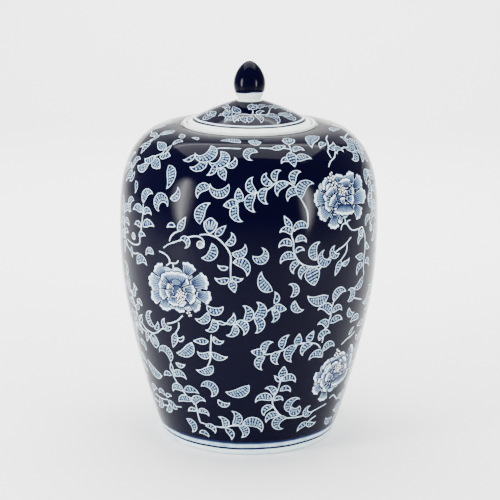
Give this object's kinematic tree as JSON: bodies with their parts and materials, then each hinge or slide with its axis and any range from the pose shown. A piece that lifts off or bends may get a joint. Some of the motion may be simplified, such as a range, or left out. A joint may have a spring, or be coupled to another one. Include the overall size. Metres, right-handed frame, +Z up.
{
  "type": "ginger jar",
  "caption": "Lidded melon-shaped ceramic jar with a domed lift-off lid, a bud finial and blue-and-white peony and leaf scroll under a glossy cobalt glaze.",
  "frame": {"origin": "centre of the foot ring, on the surface that the jar stands on", "axes": "+Z up along the jar's axis of revolution, +Y away from the viewer of the front, +X to the right"},
  "size_m": [0.219, 0.219, 0.3214],
  "materials": {
    "cobalt_glaze": "glossy clear glaze over near-black cobalt ground, white and pale blue underglaze painting",
    "lid_glaze": "glossy clear glaze over near-black cobalt ground with a cream band at the edge",
    "finial_glaze": "glossy cobalt glaze that stops in a wavy edge above a white collar"
  },
  "bodies": {
    "jar": {"jar_body": "cobalt_glaze"},
    "lid": {"lid": "lid_glaze", "lid_finial": "finial_glaze"}
  },
  "joints": [
    {"name": "lid_lift", "type": "slide", "parent": "jar", "child": "lid", "axis": [0, 0, 1], "range_m": [0, 0.12]}
  ]
}
